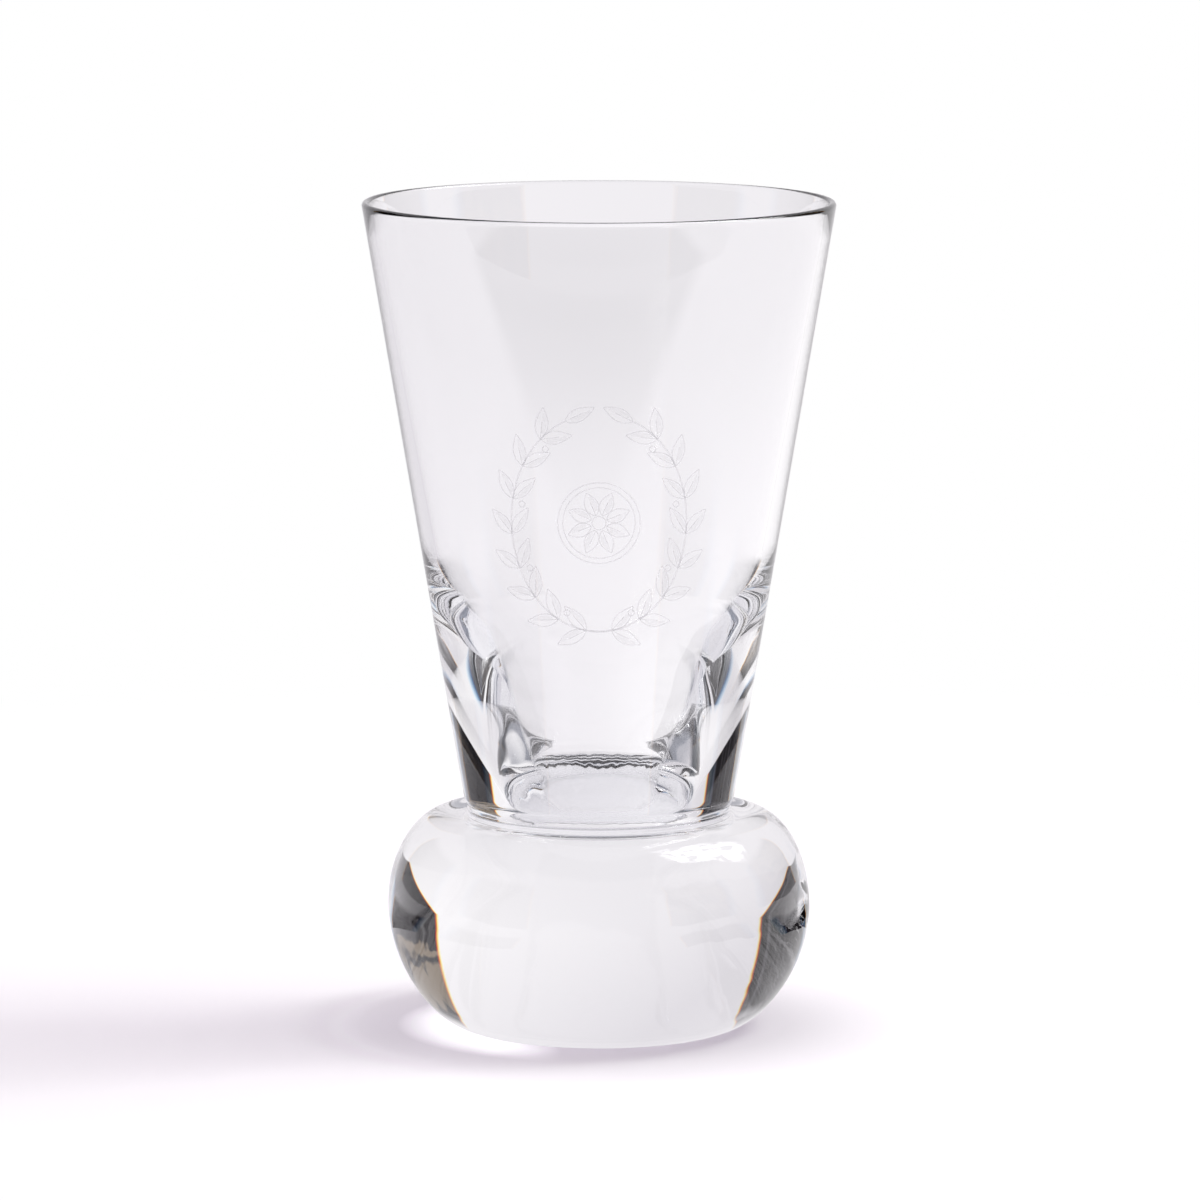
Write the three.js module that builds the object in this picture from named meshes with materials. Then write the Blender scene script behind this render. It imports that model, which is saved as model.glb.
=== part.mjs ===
// A heavy toasting glass: a straight-sided flared bowl on a solid ball foot, with a thin collar between them.
// All three pieces are clear glass, worked hot and fused face to face.
// Millimetres, +Z up. The origin is the middle of the flat that the glass stands on.

import * as THREE from "three";

// Foot: a solid flattened ball with a ground flat below and a level seat sunk a little in its top.
const FOOT_HEIGHT = 28.8;
const FOOT_RADIUS = 28.15;
const FOOT_WIDEST_HEIGHT = 16;
const FOOT_REST_RADIUS = 17;
// How full the two curves of its side are: 2 is an ellipse, and less is slacker.
const FOOT_LOWER_FULLNESS = 1.75;
const FOOT_UPPER_FULLNESS = 2;
// The seat, and the shoulder that the glass sinks from towards it.
const SEAT_DEPTH = 0.4;
const SEAT_MARGIN = 0.1;
const SHOULDER_MARGIN = 2.9;

// Collar: the thin ring of glass between the foot and the bowl. It stands a little proud of the neck above it.
const COLLAR_HEIGHT = 1;
const COLLAR_LIP = 0.15;
const COLLAR_WAIST = 0.15;

// Bowl, outside: heights count from its own bottom face. The neck steps in under the sharp lower edge.
const BOWL_HEIGHT = 80.6;
const BOWL_BOTTOM_RADIUS = 17.9;
const RIM_RADIUS = 31.3;
const NECK_HEIGHT = 1.2;
const NECK_STEP = 0.55;
const EDGE_ROUNDING = 0.35;

// Bowl, inside: a thin wall down to the shoulder, then a funnel that narrows in two steps, and a dished floor.
const RIM_WALL = 1.2;
const SHOULDER_WALL = 2;
const SHOULDER_HEIGHT = 30.5;
const FUNNEL_HEIGHT = 16.5;
const FUNNEL_RADIUS = 14;
const CUP_HEIGHT = 2.7;
const CUP_RADIUS = 8.1;
const FLOOR_EDGE_HEIGHT = 1;
const FLOOR_RADIUS = 7.2;
const FLOOR_THICKNESS = 0.35;
// The share of the floor's radius where its rounded edge has ended.
const FLOOR_START = 0.55;
const SHOULDER_BLEND = 5;
const FUNNEL_BLEND = 5;
const FLOOR_BLEND = 0.95;

// Facets: how finely the round shapes are drawn.
const SEGMENTS = 96;
const CURVE_POINTS = 8;
const SIDE_POINTS = 18;
const WAVE_POINTS = 6;
const FLOOR_POINTS = 5;

// What the pieces share, from the sizes above.
const neckRadius = BOWL_BOTTOM_RADIUS - NECK_STEP;
const collarRadius = neckRadius + COLLAR_LIP;
const seatRadius = collarRadius + SEAT_MARGIN;
const seatHeight = FOOT_HEIGHT - SEAT_DEPTH;

const glass = (name) =>
  new THREE.MeshStandardMaterial({
    name,
    color: 0xf2f3f6,
    roughness: 0.02,
    metalness: 0,
    transparent: true,
    opacity: 0.35,
  });

// One quarter of a superellipse, from a level start to an upright end.
function quarterCurve(start, end, fullness, count) {
  const points = [];
  for (let i = 0; i <= count; i += 1) {
    const angle = (Math.PI / 2) * (i / count);
    const across = Math.sin(angle) ** (2 / fullness);
    const along = Math.cos(angle) ** (2 / fullness);
    points.push(
      new THREE.Vector2(
        start.x + (end.x - start.x) * across,
        end.y + (start.y - end.y) * along,
      ),
    );
  }
  return points;
}

// Goes on to a corner and round it, from `reach` before it to `reach` after it on the way to `next`.
function roundCorner(path, corner, next, reach) {
  const before = path.currentPoint.clone().sub(corner);
  const after = next.clone().sub(corner);
  const most = Math.min(reach, before.length() / 2, after.length() / 2);
  before.setLength(most).add(corner);
  after.setLength(most).add(corner);
  path.lineTo(before.x, before.y);
  path.quadraticCurveTo(corner.x, corner.y, after.x, after.y);
}

// A profile of radius and height turned round the Z axis.
function turned(profile) {
  return new THREE.LatheGeometry(profile, SEGMENTS).rotateX(Math.PI / 2);
}

function piece(name, geometry, bottom) {
  const mesh = new THREE.Mesh(geometry, glass(name));
  mesh.name = name;
  mesh.position.z = bottom;
  return mesh;
}

// The soft wave in which the foot's top sinks from its shoulder to the seat.
function seatWave(shoulderRadius) {
  const points = [];
  for (let i = 1; i <= WAVE_POINTS; i += 1) {
    const share = i / WAVE_POINTS;
    points.push(
      new THREE.Vector2(
        THREE.MathUtils.lerp(shoulderRadius, seatRadius, share),
        FOOT_HEIGHT - SEAT_DEPTH * THREE.MathUtils.smoothstep(share, 0, 1),
      ),
    );
  }
  return points;
}

function footGeometry() {
  const widest = new THREE.Vector2(FOOT_RADIUS, FOOT_WIDEST_HEIGHT);
  const rest = new THREE.Vector2(FOOT_REST_RADIUS, 0);
  const shoulder = new THREE.Vector2(collarRadius + SHOULDER_MARGIN, FOOT_HEIGHT);
  const lower = quarterCurve(rest, widest, FOOT_LOWER_FULLNESS, SIDE_POINTS);
  const upper = quarterCurve(shoulder, widest, FOOT_UPPER_FULLNESS, SIDE_POINTS);
  return turned([
    new THREE.Vector2(0, 0),
    ...lower,
    ...upper.reverse().slice(1),
    ...seatWave(shoulder.x),
    new THREE.Vector2(0, seatHeight),
  ]);
}

function collarGeometry() {
  const path = new THREE.Path();
  path.moveTo(0, 0);
  path.lineTo(collarRadius, 0);
  path.quadraticCurveTo(
    collarRadius - 2 * COLLAR_WAIST,
    COLLAR_HEIGHT / 2,
    collarRadius,
    COLLAR_HEIGHT,
  );
  path.lineTo(0, COLLAR_HEIGHT);
  return turned(path.getPoints(CURVE_POINTS));
}

// The bowl's outer radius at a height above its lower edge.
function outerRadius(height) {
  const share = (height - NECK_HEIGHT) / (BOWL_HEIGHT - NECK_HEIGHT);
  return BOWL_BOTTOM_RADIUS + (RIM_RADIUS - BOWL_BOTTOM_RADIUS) * share;
}

function outerProfile() {
  const lowerEdge = new THREE.Vector2(BOWL_BOTTOM_RADIUS, NECK_HEIGHT);
  const rim = new THREE.Vector2(RIM_RADIUS, BOWL_HEIGHT);
  const path = new THREE.Path();
  path.moveTo(0, 0);
  path.lineTo(neckRadius, 0);
  roundCorner(path, lowerEdge, rim, EDGE_ROUNDING);
  // The lip is fire-polished: half round from the outside over to the inside.
  const lip = RIM_WALL / 2;
  path.lineTo(outerRadius(BOWL_HEIGHT - lip), BOWL_HEIGHT - lip);
  path.absarc(outerRadius(BOWL_HEIGHT - lip) - lip, BOWL_HEIGHT - lip, lip, 0, Math.PI, false);
  return path.getPoints(CURVE_POINTS);
}

// The floor sinks towards the middle. A point of it lies at a share of its radius.
function floorPoint(share) {
  const rise = FLOOR_EDGE_HEIGHT - FLOOR_THICKNESS;
  return new THREE.Vector2(FLOOR_RADIUS * share, FLOOR_THICKNESS + rise * share ** 2);
}

function cavityProfile() {
  const lip = RIM_WALL / 2;
  const top = new THREE.Vector2(outerRadius(BOWL_HEIGHT - lip) - RIM_WALL, BOWL_HEIGHT - lip);
  const shoulder = new THREE.Vector2(outerRadius(SHOULDER_HEIGHT) - SHOULDER_WALL, SHOULDER_HEIGHT);
  const funnel = new THREE.Vector2(FUNNEL_RADIUS, FUNNEL_HEIGHT);
  const cup = new THREE.Vector2(CUP_RADIUS, CUP_HEIGHT);
  const floorEdge = new THREE.Vector2(FLOOR_RADIUS, FLOOR_EDGE_HEIGHT);
  const path = new THREE.Path();
  path.moveTo(top.x, top.y);
  roundCorner(path, shoulder, funnel, SHOULDER_BLEND);
  roundCorner(path, funnel, cup, FUNNEL_BLEND);
  path.lineTo(cup.x, cup.y);
  roundCorner(path, floorEdge, floorPoint(FLOOR_START), FLOOR_BLEND);
  for (let i = FLOOR_POINTS; i >= 0; i -= 1) {
    const point = floorPoint((FLOOR_START * i) / FLOOR_POINTS);
    path.lineTo(point.x, point.y);
  }
  return path.getPoints(CURVE_POINTS);
}

function bowlGeometry() {
  return turned([...outerProfile(), ...cavityProfile().slice(1)]);
}

const toastingGlass = new THREE.Group();
toastingGlass.add(
  piece("foot", footGeometry(), 0),
  piece("collar", collarGeometry(), seatHeight),
  piece("bowl", bowlGeometry(), seatHeight + COLLAR_HEIGHT),
);

export default toastingGlass;
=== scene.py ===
# A heavy toasting glass: a flared bowl on a solid ball foot, in clear glass, on a white sweep in a studio.
# Metres, +Z up. The origin is the middle of the flat that the glass stands on.
import math

import bpy
import numpy as np
from mathutils import Matrix, Vector


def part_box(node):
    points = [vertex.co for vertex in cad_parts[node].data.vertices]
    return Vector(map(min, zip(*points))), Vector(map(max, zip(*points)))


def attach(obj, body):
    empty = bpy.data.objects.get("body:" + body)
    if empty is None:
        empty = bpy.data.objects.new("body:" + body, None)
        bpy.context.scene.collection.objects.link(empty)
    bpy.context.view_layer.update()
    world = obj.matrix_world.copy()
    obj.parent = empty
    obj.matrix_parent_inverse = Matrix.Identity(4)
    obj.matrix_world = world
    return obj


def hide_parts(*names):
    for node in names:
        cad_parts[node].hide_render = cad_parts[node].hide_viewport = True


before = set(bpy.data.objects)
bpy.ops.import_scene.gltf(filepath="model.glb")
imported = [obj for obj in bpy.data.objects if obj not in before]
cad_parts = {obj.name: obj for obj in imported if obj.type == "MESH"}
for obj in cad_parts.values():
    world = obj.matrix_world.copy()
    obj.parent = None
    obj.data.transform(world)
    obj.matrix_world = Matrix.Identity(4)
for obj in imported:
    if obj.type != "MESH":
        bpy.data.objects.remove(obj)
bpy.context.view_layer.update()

MM = 0.001

# How finely the surfaces are drawn.
SEGMENTS = 288
CURVE_POINTS = 14
SIDE_POINTS = 56
SEAT_POINTS = 12
COLLAR_POINTS = 14
DISH_POINTS = 10
OUTSIDE_STEP = 4 * MM
INSIDE_STEP = 0.6 * MM

# Foot
FOOT_HEIGHT = 28.8 * MM
FOOT_RADIUS = 28.15 * MM
FOOT_WIDEST_HEIGHT = 16 * MM
FOOT_REST_RADIUS = 17 * MM
FOOT_LOWER_FULLNESS = 1.75
FOOT_UPPER_FULLNESS = 2.0
SHOULDER_TOP_RADIUS = 20.4 * MM
SEAT_DEPTH = 0.4 * MM
SEAT_MARGIN = 0.1 * MM

# Collar
COLLAR_HEIGHT = 1 * MM
COLLAR_RADIUS = 17.5 * MM
COLLAR_WAIST = 0.15 * MM
SEAT_HEIGHT = FOOT_HEIGHT - SEAT_DEPTH
COLLAR_TOP = SEAT_HEIGHT + COLLAR_HEIGHT

# Bowl, outside
RIM_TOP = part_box("bowl")[1].z
RIM_RADIUS = 31.3 * MM
NECK_RADIUS = 17.35 * MM
SIDE_BOTTOM_RADIUS = 17.9 * MM
SIDE_BOTTOM_HEIGHT = COLLAR_TOP + 1.2 * MM
EDGE_ROUNDING = 0.35 * MM

# Bowl, inside: a funnel below the shoulder, and a small cup with a dished floor below the funnel.
RIM_WALL = 1.0 * MM
SHOULDER_WALL = 2 * MM
SHOULDER_HEIGHT = COLLAR_TOP + 30.5 * MM
FUNNEL_HEIGHT = COLLAR_TOP + 16.5 * MM
FUNNEL_RADIUS = 14 * MM
CUP_HEIGHT = COLLAR_TOP + 2.7 * MM
CUP_RADIUS = 8.1 * MM
DISH_HEIGHT = COLLAR_TOP + 1 * MM
DISH_RADIUS = 7.2 * MM
DISH_THICKNESS = 0.35 * MM
# The shares of the dish's radius between which its points lie.
DISH_FROM = 0.55
DISH_TO = 0.05
SHOULDER_BLEND = 5 * MM
FUNNEL_BLEND = 5 * MM
DISH_BLEND = 0.95 * MM

# How uneven the hand-worked glass is. Each wave round a ring has its strength, how many of it there are,
# how far it turns for each millimetre of height, and where it starts.
FOOT_WAVER = 0.009
FOOT_WAVES = ((0.4, 3, 0.3, 0), (0.25, 8, -0.5, 1))
CAVITY_UNEVENNESS = 0.03 * MM
CAVITY_WAVES = ((1, 2, 0, 1), (0.6, 3, 0.25, -0.7), (0.35, 5, -0.4, 2))
CUP_RIPPLE = 0.02 * MM
CUP_WAVES = ((1, 17, 2, 0), (0.8, 29, -3.4, 1), (0.6, 41, 4.6, 0))
# The rougher patch on the foot: its waves have a bend as well, with its strength, number and turn.
PATCH_ANGLE = math.radians(-55)
PATCH_SPREAD = 0.3
PATCH_WAVES = ((0.08, 21, 0.5, 2.5, 5, 0), (0.05, 37, -1.3, 2, 0, 0.9))
# The lengths in which the unevenness sets in and dies away.
WAVER_ABOVE_REST = 4 * MM
WAVER_BELOW_TOP = 1.2 * MM
UNEVEN_BELOW_SHOULDER = 12 * MM
UNEVEN_ROUND_AXIS = 4 * MM
RIPPLE_ABOVE_CUP = 0.8 * MM
RIPPLE_OUTWARDNESS = 8

# Etched wreath
WREATH_HEIGHT = 70.5 * MM
WREATH_WIDTH = 23.5 * MM
WREATH_RISE = 29 * MM
BRANCH_START = math.radians(-98)
BRANCH_END = math.radians(68)
BRANCH_POINTS = 60
FIRST_LEAF = BRANCH_START + 0.28
HEADING_STEP = 0.01
LEAF_PAIRS = 8
LEAF_LENGTH = 4.3 * MM
LEAF_WIDTH = 1.7 * MM
LEAF_LEAN = math.radians(38)
LEAF_POINTS = 13
# A leaf's outline stops this share short of both its ends, and is fullest below its middle.
LEAF_GAP = 0.02
LEAF_SKEW = 0.85
FILL_SHARE = 0.8
FILL_COLUMNS = 3
ROSETTE_RADIUS = 4.2 * MM
ROSETTE_RINGS = (1.12, 1.28)
EYE_RADIUS = 0.9 * MM
PETALS = 8
PETAL_GAP = 1.15
PETAL_WIDTH = 0.42
BERRY_RADIUS = 0.405 * MM
BERRY_REACH = 1.44 * MM
BERRY_TURN = 1.9
RING_POINTS = 48
BERRY_POINTS = 20
LINE_WIDTH = 0.17 * MM
STEM_WIDTH = 0.255 * MM
VEIN_WIDTH = 0.119 * MM
ETCH_LIFT = 0.012 * MM
ETCH_DEPTH = 0.02 * MM
ETCH_COLOUR = (0.72, 0.715, 0.74, 1)
ETCH_ROUGHNESS = 0.7
LINE_STRENGTH = 0.17
FILL_STRENGTH = 0.07

# The photograph's camera
CAMERA_PLACE = (0.13 * MM, -1061 * MM, 206.6 * MM)
CAMERA_AIM = (0.13 * MM, 0, 57 * MM)
FOCAL_PIXELS = 8094
FRAME_PIXELS = 1200
SENSOR = 36
CLIP_START = 0.05
CLIP_END = 20

# Glass
GLASS_IOR = 1.52
GLASS_COLOUR = (0.985, 0.985, 0.988, 1)
SEAM_COLOUR = (0.97, 0.972, 0.98, 1)
SHADOW_TINT = (0.6, 0.55, 0.61, 1)

# Studio round the glass: angles in degrees, from the line behind the glass and up from the floor.
WHITE = (1, 1, 1, 1)
BACKDROP_COLOUR = (1.04, 1.022, 1.04, 1)
# Painted shade: the backdrop's colour on its left, how wide the change is, and how much it grows with
# height.
SHADED_BACKDROP_COLOUR = (0.76, 0.735, 0.775, 1)
SHADE_REACH = 42
HEIGHT_SHADE = 1.2
CEILING_START = 38
CEILING_COLOUR = (0.3, 0.31, 0.36, 1)
ROOM_START = 108
ROOM_FLOOR = 10
SOFT_EDGE = 6
WORLD_LEVEL = 0.62
# Light that has passed one wall of the glass has met fewer faces than this, and through both walls more.
WALL_PASSES = 3.5

# Dark flags at both sides
FLAG_COLOUR = (0.012, 0.010, 0.012, 1)
FLAG_START = 39.5
FLAG_START_BLUR = 0.5
FLAG_END = 78
FLAG_END_BLUR = 3
FLAG_TOP = 25
FLAG_TOP_BLUR = 5
FRINGE = 0.45
FLAG_REACH = 0.15
FLAG_REACH_END = 0.195
MIDDLE_BLUR = 0.01
CLOTH_COLOUR = (0.24, 0.19, 0.14, 1)
CLOTH_FROM = 8
CLOTH_FOLD = 7
CREASE = (0.15 * CLOTH_FOLD, 0.4 * CLOTH_FOLD)
CLOTH_SCALE = 5.0
CLOTH_WAVE = 30
STREAK_COLOUR = (0.08, 0.075, 0.085, 1)
STREAK_STRETCH = 0.35
STREAK_RANGE = (0.5, 0.75)

# White sweep
SWEEP_RADIUS = 3
SWEEP_SIDES = 96
SWEEP_DROP = 0.02 * MM
WHITE_RANGE = (0.1, 0.3)
SHEET_RADIUS = 0.07
SHEET_COLOUR = (0.98, 0.935, 0.98, 1)
SHEET_LIFT = 0.09
# Painted contact shadow: the sheet's colour close round the foot, and the radii over which it fades out.
PAINTED_CONTACT_SHADOW_COLOUR = (0.74, 0.70, 0.74, 1)
PAINTED_CONTACT_SHADOW_RANGE = (25 * MM, 42 * MM)
# Painted caustic: a bright glow on the sheet beside the ball, away from the key light.
PAINTED_CAUSTIC_LEVEL = 0.7
PAINTED_CAUSTIC_RANGE = (20 * MM, 27 * MM)
PAINTED_CAUSTIC_LEFTWARD = (5 * MM, 14 * MM)
# Painted caustic ring: a faint glowing ring round the painted gleam.
PAINTED_CAUSTIC_RING_LEVEL = 0.05
PAINTED_CAUSTIC_RING_RADIUS = 34.5 * MM
PAINTED_CAUSTIC_RING_WIDTH = 2.5 * MM
PAINTED_CAUSTIC_RING_LEFTWARD = (18 * MM, 32 * MM)
# Painted light near the glass, and painted shade in a wedge far behind it, on the floor seen through both
# walls.
PAINTED_NEAR_LIGHT = 0.09
PAINTED_NEAR_LIGHT_RANGE = (0.35, 0.65)
PAINTED_WEDGE_SHADE = 0.1
WEDGE_MIDDLE = -5 * MM
WEDGE_RANGE = (0.4, 0.75)
WEDGE_SPREAD = 0.09
WEDGE_BLUR = 6 * MM

# Key light
KEY_PLACE = (0.72, 0.12, 0.95)
KEY_LONG_WAY = (0.46, 0.73, -0.35)
KEY_SIZE = (0.95, 0.6)
KEY_POWER = 29
KEY_FADE = 0.3
CLOUD_SCALE = 7.0
CLOUD_RANGE = (0.4, 0.6)
CLOUD_LEVEL = 1.1
LEAST_GLOW = 0.1

# Where a Mix node's factor and two values stand among its inputs, and its result among its outputs.
VECTOR_INPUTS = (1, 4, 5)
VECTOR_OUTPUT = 1
COLOUR_INPUTS = (0, 6, 7)
COLOUR_OUTPUT = 2


def clamped(value):
    """The value, kept between 0 and 1."""
    return min(1, max(0, value))


def unit(angle):
    """The flat unit vector at an angle."""
    return np.array([math.cos(angle), math.sin(angle)])


def round_angles(count):
    """Evenly spread angles of a full turn."""
    return np.arange(count) * 2 * math.pi / count


def add_piece(name, vertices, faces, materials):
    """Makes an object with a mesh of its own, and links it to the scene."""
    mesh = bpy.data.meshes.new(name)
    mesh.from_pydata(vertices, [], faces)
    for material in materials:
        mesh.materials.append(material)
    mesh.update()
    piece = bpy.data.objects.new(name, mesh)
    bpy.context.scene.collection.objects.link(piece)
    return piece


# Turned shapes


def quarter_curve(start, end, fullness, count):
    """One quarter of a superellipse, from a level start to an upright end."""
    angle = np.linspace(0, math.pi / 2, count + 1)
    across = np.sin(angle) ** (2 / fullness)
    along = np.cos(angle) ** (2 / fullness)
    radius = start[0] + (end[0] - start[0]) * across
    height = end[1] + (start[1] - end[1]) * along
    return list(zip(radius, height))


class Profile:
    """A line of (radius, height) points, with rounded corners."""

    def __init__(self, start):
        self.points = [np.array(start, float)]

    def to(self, point):
        self.points.append(np.array(point, float))

    def corner(self, corner, onward, reach):
        """Goes on to a corner and round it, on the way to the point `onward`."""
        corner = np.array(corner, float)
        before = self.points[-1] - corner
        after = np.array(onward, float) - corner
        most = min(reach, np.linalg.norm(before) / 2, np.linalg.norm(after) / 2)
        start = corner + before / np.linalg.norm(before) * most
        end = corner + after / np.linalg.norm(after) * most
        self.points.append(start)
        for share in np.linspace(0, 1, CURVE_POINTS + 1)[1:]:
            left = 1 - share
            self.points.append(left**2 * start + 2 * share * left * corner + share**2 * end)

    def arc(self, centre, radius, start, end):
        for angle in np.linspace(start, end, CURVE_POINTS + 1):
            self.points.append(np.array(centre) + radius * unit(angle))

    def split(self, step):
        """The points, with long runs split into steps."""
        made = [self.points[0]]
        for point in self.points[1:]:
            last = made[-1]
            count = max(1, math.ceil(np.linalg.norm(point - last) / step))
            made += [last + (point - last) * k / count for k in range(1, count + 1)]
        return made


def turned_rings(points):
    """A circle of points for each (radius, height) of a profile."""
    angle = round_angles(SEGMENTS)
    circle = np.stack([np.cos(angle), np.sin(angle), np.zeros(SEGMENTS)], axis=1)
    return [circle * radius + np.array([0, 0, height]) for radius, height in points]


def closed_piece(name, rings, is_seam, materials):
    """Joins rings of points into one closed surface. Its two ends close on the axis.

    is_seam(ring) says whether the band that ends at that ring lies against another piece.
    """
    vertices = [rings[0].mean(axis=0)]
    for ring in rings:
        vertices += list(ring)
    vertices.append(rings[-1].mean(axis=0))
    last = len(vertices) - 1
    faces = []
    seams = []
    for k in range(SEGMENTS):
        faces.append((0, 1 + (k + 1) % SEGMENTS, 1 + k))
        seams.append(is_seam(0))
    for ring in range(1, len(rings)):
        low = 1 + (ring - 1) * SEGMENTS
        high = low + SEGMENTS
        for k in range(SEGMENTS):
            onward = (k + 1) % SEGMENTS
            faces.append((low + k, low + onward, high + onward, high + k))
            seams.append(is_seam(ring))
    top = 1 + (len(rings) - 1) * SEGMENTS
    for k in range(SEGMENTS):
        faces.append((top + k, top + (k + 1) % SEGMENTS, last))
        seams.append(is_seam(len(rings)))
    piece = add_piece(name, [tuple(v) for v in vertices], faces, materials)
    piece.data.polygons.foreach_set("use_smooth", [not seam for seam in seams])
    piece.data.polygons.foreach_set("material_index", [int(seam) for seam in seams])
    piece.data.update()
    return piece


def stand_for(piece, node):
    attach(piece, "root")
    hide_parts(node)


# Nodes


def put(tree, value, socket):
    """Feeds a socket with a constant or with another node's output."""
    if isinstance(value, bpy.types.NodeSocket):
        tree.links.new(value, socket)
    else:
        socket.default_value = value


def new_material(name):
    material = bpy.data.materials.new(name)
    material.use_nodes = True
    material.node_tree.nodes.clear()
    return material, material.node_tree


def add_node(tree, kind, **inputs):
    """Adds a node. In the names of its inputs an underscore stands for a space."""
    node = tree.nodes.new(kind)
    for key, value in inputs.items():
        put(tree, value, node.inputs[key.replace("_", " ")])
    return node


def finish_tree(tree, shader, kind="ShaderNodeOutputMaterial"):
    """Ends a tree of a material, a world or a light with its output."""
    add_node(tree, kind, Surface=shader)


def maths(tree, operation, *values, clamp=False):
    """A Math node's output. Each value is a number or a socket."""
    node = tree.nodes.new("ShaderNodeMath")
    node.operation = operation
    node.use_clamp = clamp
    for value, socket in zip(values, node.inputs):
        put(tree, value, socket)
    return node.outputs[0]


def product(tree, first, *others):
    result = first
    for other in others:
        result = maths(tree, "MULTIPLY", result, other)
    return result


def total(tree, first, *others):
    result = first
    for other in others:
        result = maths(tree, "ADD", result, other)
    return result


def difference(tree, first, second):
    return maths(tree, "SUBTRACT", first, second)


def distance(tree, first, second):
    return maths(tree, "ABSOLUTE", difference(tree, first, second))


def step_up(tree, value, low, high):
    """0 below low, 1 above high, and straight between them."""
    return maths(tree, "DIVIDE", difference(tree, value, low), high - low, clamp=True)


def step_down(tree, value, low, high):
    """1 below low, 0 above high, and straight between them."""
    return difference(tree, 1, step_up(tree, value, low, high))


def degrees(tree, across, along):
    """The angle of a direction from `along` towards `across`."""
    return product(tree, maths(tree, "ARCTAN2", across, along), 180 / math.pi)


def split_vector(tree, vector):
    split = tree.nodes.new("ShaderNodeSeparateXYZ")
    tree.links.new(vector, split.inputs[0])
    return split.outputs


def vector_mix(tree, factor, first, second):
    """Mixes two colours by a factor of its own for red, green and blue. All are sockets."""
    node = tree.nodes.new("ShaderNodeMix")
    node.data_type = "VECTOR"
    node.factor_mode = "NON_UNIFORM"
    for value, place in zip((factor, first, second), VECTOR_INPUTS):
        put(tree, value, node.inputs[place])
    return node.outputs[VECTOR_OUTPUT]


def colour_mix(tree, factor, first, second):
    """Mixes two colours by one factor. Each colour is a socket or a constant."""
    node = tree.nodes.new("ShaderNodeMix")
    node.data_type = "RGBA"
    for value, place in zip((factor, first, second), COLOUR_INPUTS):
        put(tree, value, node.inputs[place])
    return node.outputs[COLOUR_OUTPUT]


def shader_mix(tree, factor, first, second):
    node = tree.nodes.new("ShaderNodeMixShader")
    for value, socket in zip((factor, first, second), node.inputs):
        put(tree, value, socket)
    return node.outputs[0]


def glow(tree, colour=WHITE, strength=1.0, kind="ShaderNodeEmission"):
    """Light that is given off, by a surface, a lamp or a world's background."""
    return add_node(tree, kind, Color=colour, Strength=strength).outputs[0]


def light_path(tree):
    return tree.nodes.new("ShaderNodeLightPath").outputs


def comes_from_glass(tree, path):
    """1 for light that a polished surface has mirrored or bent, and 0 for all else."""
    return maths(tree, "MAXIMUM", path["Is Glossy Ray"], path["Is Transmission Ray"])


# Glass


def clear_glass():
    """Polished glass. For shadow rays alone it is a pale tint, so that its shadow is soft."""
    material, tree = new_material("clear_glass")
    glass = add_node(
        tree,
        "ShaderNodeBsdfPrincipled",
        Base_Color=GLASS_COLOUR,
        Roughness=0.0,
        IOR=GLASS_IOR,
        Transmission_Weight=1,
    )
    clear = add_node(tree, "ShaderNodeBsdfTransparent", Color=SHADOW_TINT)
    shadow = light_path(tree)["Is Shadow Ray"]
    finish_tree(tree, shader_mix(tree, shadow, glass.outputs[0], clear.outputs[0]))
    return material


def fused_seam():
    """Where two pieces are fused there is no surface for light to meet, only a faint veil."""
    material, tree = new_material("fused_seam")
    clear = add_node(tree, "ShaderNodeBsdfTransparent", Color=SEAM_COLOUR)
    finish_tree(tree, clear.outputs[0])
    return material


def waves(table, angle, height):
    """The sum of a table's waves on a ring at a height."""
    wave = np.zeros(len(angle))
    for strength, count, turn, start in table:
        wave += strength * np.cos(count * angle + turn * height / MM + start)
    return wave


def patch_waves(angle, height):
    """The bent waves of the rougher patch, which lies on the foot's front right."""
    wave = np.zeros(len(angle))
    for strength, count, turn, bend, bend_count, bend_turn in PATCH_WAVES:
        bent = bend * np.cos(bend_count * angle + bend_turn * height / MM)
        wave += strength * np.cos(count * angle + turn * height / MM + bent)
    return wave * np.exp(-(((np.cos(angle - PATCH_ANGLE) - 1) / PATCH_SPREAD) ** 2))


def waver(ring):
    """Draws a ring of the foot in a little, unevenly: the ball was shaped hot, by hand."""
    angle = round_angles(SEGMENTS)
    height = ring[0][2]
    wave = waves(FOOT_WAVES, angle, height) + patch_waves(angle, height)
    fade = clamped(min(height / WAVER_ABOVE_REST, (FOOT_HEIGHT - height) / WAVER_BELOW_TOP))
    ring[:, :2] *= 1 - FOOT_WAVER * fade * (1 + wave[:, None]) / 2


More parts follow.
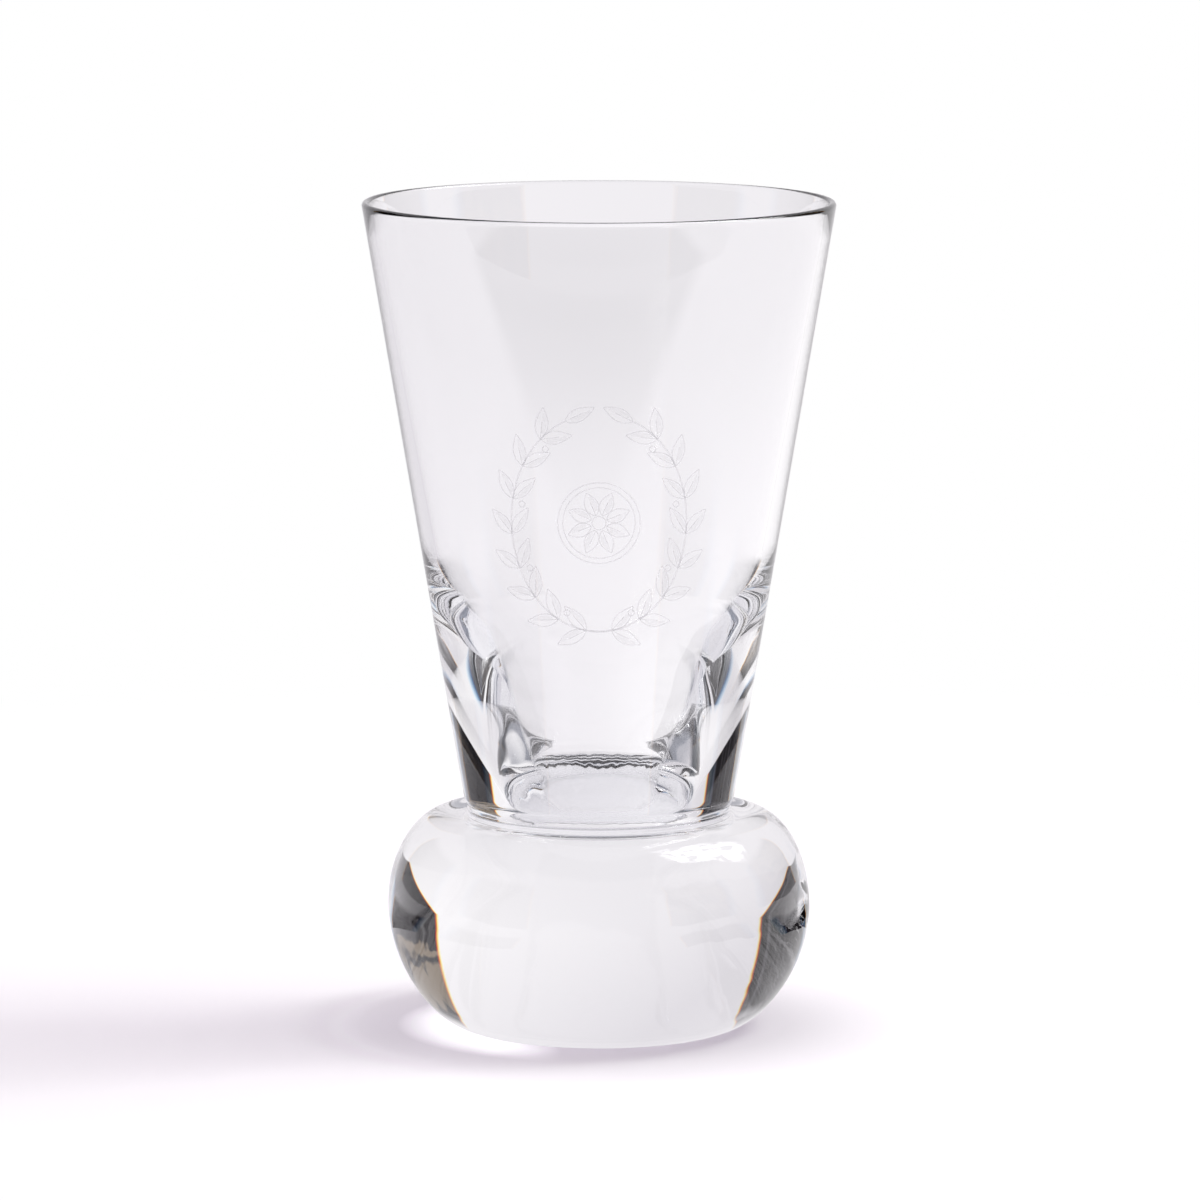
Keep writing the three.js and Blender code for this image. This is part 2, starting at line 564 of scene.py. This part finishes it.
def make_foot(materials):
    widest = (FOOT_RADIUS, FOOT_WIDEST_HEIGHT)
    lower = quarter_curve((FOOT_REST_RADIUS, 0), widest, FOOT_LOWER_FULLNESS, SIDE_POINTS)
    upper = quarter_curve((SHOULDER_TOP_RADIUS, FOOT_HEIGHT), widest, FOOT_UPPER_FULLNESS, SIDE_POINTS)
    points = [(FOOT_REST_RADIUS / 2, 0), *lower, *upper[::-1][1:]]
    # Inside the shoulder the top sinks in a soft wave to the seat.
    seat_radius = COLLAR_RADIUS + SEAT_MARGIN
    for share in np.linspace(0, 1, SEAT_POINTS + 1)[1:]:
        sink = share * share * (3 - 2 * share)
        radius = SHOULDER_TOP_RADIUS + (seat_radius - SHOULDER_TOP_RADIUS) * share
        points.append((radius, FOOT_HEIGHT - SEAT_DEPTH * sink))
    points.append((COLLAR_RADIUS, SEAT_HEIGHT))
    seam_from = len(points)
    rings = turned_rings(points)
    for ring in rings[1:seam_from]:
        waver(ring)
    foot = closed_piece("foot_glass", rings, lambda ring: ring >= seam_from, materials)
    stand_for(foot, "foot")


def make_collar(materials):
    points = []
    for share in np.linspace(-1, 1, COLLAR_POINTS + 1):
        height = SEAT_HEIGHT + COLLAR_HEIGHT * (1 + share) / 2
        points.append((COLLAR_RADIUS - COLLAR_WAIST * (1 - share**2), height))
    seam_from = len(points) + 1
    points.append((NECK_RADIUS, COLLAR_TOP))
    rings = turned_rings(points)
    collar = closed_piece("collar_glass", rings, lambda ring: ring == 0 or ring >= seam_from, materials)
    stand_for(collar, "collar")


def outer_radius(height):
    """The bowl's outer radius at a height above the table."""
    share = (height - SIDE_BOTTOM_HEIGHT) / (RIM_TOP - SIDE_BOTTOM_HEIGHT)
    return SIDE_BOTTOM_RADIUS + (RIM_RADIUS - SIDE_BOTTOM_RADIUS) * share


def dish_point(share):
    """A point of the cup's floor, which sinks towards the middle. Its share is 1 at the edge."""
    lowest = COLLAR_TOP + DISH_THICKNESS
    return DISH_RADIUS * share, lowest + (DISH_HEIGHT - lowest) * share**2


def worked_ring(radius, height):
    """A ring of the cavity, a little uneven below the shoulder, where the hot glass was worked."""
    angle = round_angles(SEGMENTS)
    worked = clamped((SHOULDER_HEIGHT - height) / UNEVEN_BELOW_SHOULDER)
    worked *= clamped(radius / UNEVEN_ROUND_AXIS)
    near_cup = clamped((CUP_HEIGHT + RIPPLE_ABOVE_CUP - height) / RIPPLE_ABOVE_CUP)
    near_cup *= clamped(radius / CUP_RADIUS) ** RIPPLE_OUTWARDNESS
    reach = radius + CAVITY_UNEVENNESS * worked * waves(CAVITY_WAVES, angle, height)
    reach += CUP_RIPPLE * near_cup * waves(CUP_WAVES, angle, height)
    return np.stack([reach * np.cos(angle), reach * np.sin(angle), np.full(SEGMENTS, height)], axis=1)


def make_bowl(materials):
    lip = RIM_WALL / 2
    outside = Profile((NECK_RADIUS, COLLAR_TOP))
    outside.corner((SIDE_BOTTOM_RADIUS, SIDE_BOTTOM_HEIGHT), (RIM_RADIUS, RIM_TOP), EDGE_ROUNDING)
    # The lip is half round.
    lip_radius = outer_radius(RIM_TOP - lip)
    slant = math.atan2(RIM_RADIUS - SIDE_BOTTOM_RADIUS, RIM_TOP - SIDE_BOTTOM_HEIGHT)
    outside.arc((lip_radius - lip, RIM_TOP - lip), lip, -slant, math.pi - slant)

    shoulder = (outer_radius(SHOULDER_HEIGHT) - SHOULDER_WALL, SHOULDER_HEIGHT)
    funnel_top = (FUNNEL_RADIUS, FUNNEL_HEIGHT)
    cup_top = (CUP_RADIUS, CUP_HEIGHT)
    dish = [dish_point(share) for share in np.linspace(DISH_FROM, DISH_TO, DISH_POINTS + 1)]
    inside = Profile(outside.points[-1])
    inside.corner(shoulder, funnel_top, SHOULDER_BLEND)
    inside.corner(funnel_top, cup_top, FUNNEL_BLEND)
    inside.to(cup_top)
    inside.corner((DISH_RADIUS, DISH_HEIGHT), dish[0], DISH_BLEND)
    for point in dish:
        inside.to(point)

    rings = turned_rings(outside.split(OUTSIDE_STEP))
    for radius, height in inside.split(INSIDE_STEP)[1:]:
        rings.append(worked_ring(radius, height))
    bowl = closed_piece("bowl_glass", rings, lambda ring: ring == 0, materials)
    stand_for(bowl, "bowl")


# Etched ornament: a wreath of two leafy branches round a rosette, on the front of the bowl


def on_wall(across, rise, lift):
    """A point of the bowl's front wall, by its place in the flat drawing, a little off the glass."""
    height = WREATH_HEIGHT + rise
    angle = across / outer_radius(height)
    radius = outer_radius(height) + lift
    return (radius * math.sin(angle), -radius * math.cos(angle), height)


class Etching:
    """Gathers thin raised shapes on the wall into one mesh."""

    def __init__(self):
        self.vertices = []
        self.faces = []

    def line(self, points, closed, width=LINE_WIDTH):
        """A ribbon along flat points."""
        points = np.array(points)
        if closed:
            along = np.roll(points, -1, axis=0) - np.roll(points, 1, axis=0)
        else:
            along = np.gradient(points, axis=0)
        along /= np.linalg.norm(along, axis=1)[:, None]
        side = np.stack([-along[:, 1], along[:, 0]], axis=1) * width / 2
        self.strip(points + side, points - side, 1, closed)

    def strip(self, left, right, columns, closed=False):
        """A closed plate between two edges, split into columns so that it keeps to the round wall."""
        first = len(self.vertices)
        shares = np.linspace(0, 1, columns + 1)
        for one, other in zip(left, right):
            row = [one + (other - one) * share for share in shares]
            self.vertices += [on_wall(*point, ETCH_LIFT) for point in row]
            self.vertices += [on_wall(*point, ETCH_LIFT + ETCH_DEPTH) for point in reversed(row)]
        size = 2 * (columns + 1)
        rows = len(left)
        for row in range(rows if closed else rows - 1):
            low = first + row * size
            high = first + (row + 1) % rows * size
            for k in range(size):
                onward = (k + 1) % size
                self.faces.append((low + k, low + onward, high + onward, high + k))
        if not closed:
            shift = (rows - 1) * size
            for column in range(columns):
                start = first + column
                end = first + size - 1 - column
                self.faces.append((end, end - 1, start + 1, start))
                self.faces.append((start + shift, start + 1 + shift, end - 1 + shift, end + shift))

    def circle(self, centre, radius, count=RING_POINTS):
        angle = round_angles(count)
        self.line(np.array(centre) + radius * np.stack([np.cos(angle), np.sin(angle)], axis=1), True)

    def finish(self, name, material):
        piece = add_piece(name, self.vertices, self.faces, [material])
        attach(piece, "root")


def leaf_lines(base, heading, length, width):
    """A pointed leaf's two edges and its middle line, as flat points from its base to its tip."""
    share = np.linspace(LEAF_GAP, 1 - LEAF_GAP, LEAF_POINTS)
    bulge = width / 2 * np.sin(math.pi * share**LEAF_SKEW)
    forward = unit(heading)
    sideways = np.array([-forward[1], forward[0]])
    middle = np.array(base) + length * share[:, None] * forward
    return middle + bulge[:, None] * sideways, middle - bulge[:, None] * sideways, middle


def etch_leaf(lines, fills, base, heading, length, width):
    """A leaf's outline and vein, with one half of it filled."""
    left, right, middle = leaf_lines(base, heading, length, width)
    lines.line(np.concatenate([left, right[::-1]]), True)
    filled = right * FILL_SHARE + middle * (1 - FILL_SHARE)
    fills.strip(middle[2:-2], filled[2:-2], FILL_COLUMNS)
    lines.line(middle[: 2 * LEAF_POINTS // 3], False, VEIN_WIDTH)


def branch_point(angle, mirror):
    return np.array([mirror * WREATH_WIDTH / 2 * math.cos(angle), WREATH_RISE / 2 * math.sin(angle)])


def etch_branch(lines, fills, mirror):
    """One branch of the wreath, from its foot below to its tip above."""
    angles = np.linspace(BRANCH_START, BRANCH_END, BRANCH_POINTS)
    lines.line([branch_point(angle, mirror) for angle in angles], False, STEM_WIDTH)
    for i, angle in enumerate(np.linspace(FIRST_LEAF, BRANCH_END, LEAF_PAIRS + 1)):
        base = branch_point(angle, mirror)
        ahead = branch_point(angle + HEADING_STEP, mirror) - base
        heading = math.atan2(ahead[1], ahead[0])
        if i == LEAF_PAIRS:
            etch_leaf(lines, fills, base, heading, LEAF_LENGTH, LEAF_WIDTH)
            continue
        for lean in (-LEAF_LEAN, LEAF_LEAN):
            etch_leaf(lines, fills, base, heading + lean, LEAF_LENGTH, LEAF_WIDTH)
        # Every other pair of leaves has a berry beside it.
        if i % 2:
            berry = base + BERRY_REACH * unit(heading + BERRY_TURN * mirror)
            lines.circle(berry, BERRY_RADIUS, BERRY_POINTS)


def etch_rosette(lines, fills):
    lines.circle((0, 0), EYE_RADIUS)
    for ring in ROSETTE_RINGS:
        lines.circle((0, 0), ROSETTE_RADIUS * ring)
    length = ROSETTE_RADIUS - EYE_RADIUS
    for k in range(PETALS):
        heading = 2 * math.pi * k / PETALS + math.pi / PETALS
        base = EYE_RADIUS * PETAL_GAP * unit(heading)
        etch_leaf(lines, fills, base, heading, length, ROSETTE_RADIUS * PETAL_WIDTH)


def etched(name, strength):
    """Matt etching, seen as a faint grey on the clear wall."""
    material, tree = new_material(name)
    matt = add_node(
        tree,
        "ShaderNodeBsdfPrincipled",
        Base_Color=ETCH_COLOUR,
        Roughness=ETCH_ROUGHNESS,
        Alpha=strength,
    )
    finish_tree(tree, matt.outputs[0])
    return material


def make_wreath():
    lines = Etching()
    fills = Etching()
    for mirror in (-1, 1):
        etch_branch(lines, fills, mirror)
    etch_rosette(lines, fills)
    lines.finish("etched_lines", etched("etched_line", LINE_STRENGTH))
    fills.finish("etched_fills", etched("etched_fill", FILL_STRENGTH))


# Stage


def side_flags(tree, azimuth):
    """Where the dark flags stand. Glass bends blue the most, so their edges show a fringe of colour."""
    fringed = tree.nodes.new("ShaderNodeCombineXYZ")
    for channel, shift in enumerate((FRINGE, 0, -FRINGE)):
        start = FLAG_START + shift
        end = FLAG_END + 2 * shift
        begun = step_up(tree, azimuth, start - FLAG_START_BLUR, start + FLAG_START_BLUR)
        ended = step_up(tree, azimuth, end - FLAG_END_BLUR, end + FLAG_END_BLUR)
        tree.links.new(maths(tree, "SUBTRACT", begun, ended, clamp=True), fringed.inputs[channel])
    return fringed.outputs[0]


def flag_colour(tree, direction, side, azimuth, elevation):
    """The flags are black, with a pale cloth over the right one and streaks of light down the left one."""
    noise = add_node(tree, "ShaderNodeTexNoise", Vector=direction, Scale=CLOTH_SCALE, Detail=3.0)
    height = total(tree, elevation, product(tree, difference(tree, noise.outputs[0], 0.5), CLOTH_WAVE))
    cloth = product(
        tree,
        step_up(tree, maths(tree, "PINGPONG", height, CLOTH_FOLD), *CREASE),
        step_up(tree, height, CLOTH_FROM, CLOTH_FROM + 1),
        step_up(tree, side, 0, MIDDLE_BLUR),
    )
    streak = add_node(tree, "ShaderNodeTexNoise", Scale=1.0, Detail=2.0)
    streak.noise_dimensions = "1D"
    put(tree, product(tree, azimuth, STREAK_STRETCH), streak.inputs["W"])
    light = step_up(tree, streak.outputs[0], *STREAK_RANGE)
    light = product(tree, light, step_down(tree, side, -MIDDLE_BLUR, 0))
    covered = colour_mix(tree, cloth, FLAG_COLOUR, CLOTH_COLOUR)
    return colour_mix(tree, light, covered, STREAK_COLOUR)


def studio_view(tree, direction, nearness=1):
    """The colour of the studio in a direction from the glass: white, with dark flags at the sides.

    The flags count only for light that has passed one wall at most, and on the floor only so far out
    as nearness lets them. The dark room behind the camera counts only for light through both walls.
    """
    passes = light_path(tree)["Transmission Depth"]
    one_wall = maths(tree, "LESS_THAN", passes, WALL_PASSES)
    both_walls = maths(tree, "GREATER_THAN", passes, WALL_PASSES)
    side, depth, up = split_vector(tree, direction)
    aside = maths(tree, "ABSOLUTE", side)
    away = maths(tree, "ABSOLUTE", depth)
    level = maths(tree, "SQRT", total(tree, product(tree, aside, aside), product(tree, away, away)))
    azimuth = degrees(tree, aside, away)
    elevation = degrees(tree, up, level)

    # Painted shade: the backdrop is darker on the left, and the more so the higher up.
    fall = product(tree, maths(tree, "MAXIMUM", elevation, 0), HEIGHT_SHADE)
    turned = difference(tree, degrees(tree, side, away), fall)
    lit_side = step_up(tree, turned, -SHADE_REACH, SHADE_REACH)
    backdrop = colour_mix(tree, lit_side, SHADED_BACKDROP_COLOUR, BACKDROP_COLOUR)
    ceiling = step_up(tree, elevation, CEILING_START, CEILING_START + SOFT_EDGE)
    room = product(
        tree,
        step_up(tree, degrees(tree, aside, depth), ROOM_START, ROOM_START + SOFT_EDGE),
        step_up(tree, elevation, ROOM_FLOOR, ROOM_FLOOR + SOFT_EDGE),
        both_walls,
    )
    behind = colour_mix(tree, ceiling, backdrop, CEILING_COLOUR)
    behind = colour_mix(tree, room, behind, FLAG_COLOUR)

    low = step_down(tree, elevation, FLAG_TOP, FLAG_TOP + FLAG_TOP_BLUR)
    standing = tree.nodes.new("ShaderNodeVectorMath")
    standing.operation = "SCALE"
    put(tree, side_flags(tree, azimuth), standing.inputs[0])
    put(tree, product(tree, low, one_wall, nearness), standing.inputs["Scale"])
    flag = flag_colour(tree, direction, side, azimuth, elevation)
    return vector_mix(tree, standing.outputs[0], behind, flag)


def make_world():
    """White to the camera, a plain level of light on all else, and the studio for light from the glass."""
    world = bpy.data.worlds.new("studio")
    bpy.context.scene.world = world
    world.use_nodes = True
    tree = world.node_tree
    tree.nodes.clear()
    direction = tree.nodes.new("ShaderNodeTexCoord").outputs["Generated"]
    path = light_path(tree)
    from_glass = comes_from_glass(tree, path)
    kind = "ShaderNodeBackground"
    plain = glow(tree, WHITE, WORLD_LEVEL, kind)
    studio = glow(tree, studio_view(tree, direction), 1.0, kind)
    light = shader_mix(tree, from_glass, plain, studio)
    seen = shader_mix(tree, path["Is Camera Ray"], light, glow(tree, WHITE, 1.0, kind))
    finish_tree(tree, seen, "ShaderNodeOutputWorld")


def near_sheet(tree, across, radius):
    """The lit sheet near the glass, which takes its shadow. A contact shadow and a caustic are painted on
    it.
    """
    diffuse = tree.nodes.new("ShaderNodeBsdfDiffuse")
    # Painted contact shadow: the sheet's colour is darker close round the foot.
    away = step_up(tree, radius, *PAINTED_CONTACT_SHADOW_RANGE)
    put(tree, colour_mix(tree, away, PAINTED_CONTACT_SHADOW_COLOUR, SHEET_COLOUR), diffuse.inputs["Color"])
    # Painted caustic: a bright glow beside the ball, away from the key light, and a faint glowing ring
    # round it.
    leftward = product(tree, across, -1)
    painted_caustic = step_down(tree, radius, *PAINTED_CAUSTIC_RANGE)
    painted_caustic = product(tree, painted_caustic, step_up(tree, leftward, *PAINTED_CAUSTIC_LEFTWARD), PAINTED_CAUSTIC_LEVEL)
    ring = step_down(tree, distance(tree, radius, PAINTED_CAUSTIC_RING_RADIUS), 0, PAINTED_CAUSTIC_RING_WIDTH)
    ring = product(tree, ring, step_up(tree, leftward, *PAINTED_CAUSTIC_RING_LEFTWARD), PAINTED_CAUSTIC_RING_LEVEL)
    # The glow carries the painted caustic and ring, and the sheet's even lift.
    lit = tree.nodes.new("ShaderNodeAddShader")
    put(tree, diffuse.outputs[0], lit.inputs[0])
    put(tree, glow(tree, strength=total(tree, painted_caustic, ring, SHEET_LIFT)), lit.inputs[1])
    return lit.outputs[0]


def studio_on_floor(tree, position, radius, path):
    """What light from the glass meets beyond the sheet: the studio round it."""
    across, back, _ = split_vector(tree, position)
    # The flags lie near the glass. For light that was never mirrored they lie all over the floor behind it.
    unturned = maths(tree, "LESS_THAN", path["Glossy Depth"], 0.5)
    unturned = product(tree, unturned, maths(tree, "GREATER_THAN", back, 0))
    nearness = maths(tree, "MAXIMUM", step_down(tree, radius, FLAG_REACH, FLAG_REACH_END), unturned)
    # Painted light and shade: through both walls the floor is painted brightest near the glass, and a wedge
    # of it far behind is painted grey.
    both_walls = maths(tree, "GREATER_THAN", path["Transmission Depth"], WALL_PASSES)
    painted_near_light = product(tree, step_down(tree, radius, *PAINTED_NEAR_LIGHT_RANGE), both_walls, PAINTED_NEAR_LIGHT)
    spread = product(tree, difference(tree, back, WEDGE_RANGE[0]), WEDGE_SPREAD)
    beside = difference(tree, distance(tree, across, WEDGE_MIDDLE), spread)
    painted_shade_wedge = product(
        tree,
        step_down(tree, beside, 0, WEDGE_BLUR),
        step_up(tree, back, *WEDGE_RANGE),
        both_walls,
        PAINTED_WEDGE_SHADE,
    )
    strength = difference(tree, total(tree, painted_near_light, 1), painted_shade_wedge)
    return glow(tree, studio_view(tree, position, nearness), strength)


def floor_material():
    material, tree = new_material("white_sweep")
    position = tree.nodes.new("ShaderNodeNewGeometry").outputs["Position"]
    across = split_vector(tree, position)[0]
    length = tree.nodes.new("ShaderNodeVectorMath")
    length.operation = "LENGTH"
    put(tree, position, length.inputs[0])
    radius = length.outputs["Value"]
    path = light_path(tree)
    from_glass = comes_from_glass(tree, path)

    # Seen from the glass, the sheet is a glow with painted shade: darker on the left, where the glass's
    # shadow lies.
    lit_side = step_up(tree, across, -SHEET_RADIUS, SHEET_RADIUS)
    below = glow(tree, colour_mix(tree, lit_side, SHADED_BACKDROP_COLOUR, BACKDROP_COLOUR))
    sheet = shader_mix(tree, from_glass, near_sheet(tree, across, radius), below)
    # Far from the glass the sweep is plain white to the camera.
    far_away = product(tree, step_up(tree, radius, *WHITE_RANGE), path["Is Camera Ray"])
    sweep = shader_mix(tree, far_away, sheet, glow(tree))
    beyond = product(tree, maths(tree, "GREATER_THAN", radius, SHEET_RADIUS), from_glass)
    finish_tree(tree, shader_mix(tree, beyond, sweep, studio_on_floor(tree, position, radius, path)))
    return material


def make_floor():
    ring = [(*SWEEP_RADIUS * unit(angle), 0) for angle in round_angles(SWEEP_SIDES)]
    floor = add_piece("floor", ring, [tuple(range(SWEEP_SIDES))], [floor_material()])
    floor.location.z = -SWEEP_DROP


def make_camera():
    data = bpy.data.cameras.new("camera")
    data.sensor_width = SENSOR
    data.lens = FOCAL_PIXELS / FRAME_PIXELS * SENSOR
    data.clip_start = CLIP_START
    data.clip_end = CLIP_END
    camera = bpy.data.objects.new("camera", data)
    camera.location = CAMERA_PLACE
    aim = np.array(CAMERA_AIM) - np.array(CAMERA_PLACE)
    pitch = math.atan2(aim[2], math.hypot(aim[0], aim[1]))
    camera.rotation_euler = (math.pi / 2 + pitch, 0, 0)
    bpy.context.scene.collection.objects.link(camera)
    bpy.context.scene.camera = camera


def soften_light(data):
    """The box glows unevenly and fades towards its edges, as cloth over a lamp does."""
    data.use_nodes = True
    tree = data.node_tree
    tree.nodes.clear()
    place = tree.nodes.new("ShaderNodeNewGeometry").outputs
    noise = add_node(tree, "ShaderNodeTexNoise", Vector=place["Position"], Scale=CLOUD_SCALE, Detail=2.0)
    clouds = product(tree, step_up(tree, noise.outputs[0], *CLOUD_RANGE), CLOUD_LEVEL)
    strength = total(tree, clouds, LEAST_GLOW)
    for across in split_vector(tree, place["Parametric"])[:2]:
        edge = maths(tree, "MINIMUM", across, difference(tree, 1, across))
        strength = product(tree, strength, step_up(tree, edge, 0, KEY_FADE))
    finish_tree(tree, glow(tree, strength=strength), "ShaderNodeOutputLight")


def make_key_light():
    """A wide soft box above and to the right. It gives the glass its highlight and its shadow."""
    data = bpy.data.lights.new("key", "AREA")
    data.shape = "RECTANGLE"
    data.size, data.size_y = KEY_SIZE
    data.energy = KEY_POWER
    light = bpy.data.objects.new("key", data)
    back = Vector(KEY_PLACE).normalized()
    side = Vector(KEY_LONG_WAY)
    side = (side - back * side.dot(back)).normalized()
    turn = Matrix((side, back.cross(side), back)).transposed()
    light.matrix_world = Matrix.Translation(KEY_PLACE) @ turn.to_4x4()
    light.visible_transmission = False
    soften_light(data)
    bpy.context.scene.collection.objects.link(light)


def set_render():
    """Enough bounces for light to pass through all the faces of the glass."""
    scene = bpy.context.scene
    scene.view_settings.view_transform = "Standard"
    scene.cycles.max_bounces = 32
    scene.cycles.transmission_bounces = 32
    scene.cycles.glossy_bounces = 16
    scene.cycles.transparent_max_bounces = 48


make_camera()
glass_materials = [clear_glass(), fused_seam()]
make_foot(glass_materials)
make_collar(glass_materials)
make_bowl(glass_materials)
make_wreath()
make_world()
make_floor()
make_key_light()
set_render()
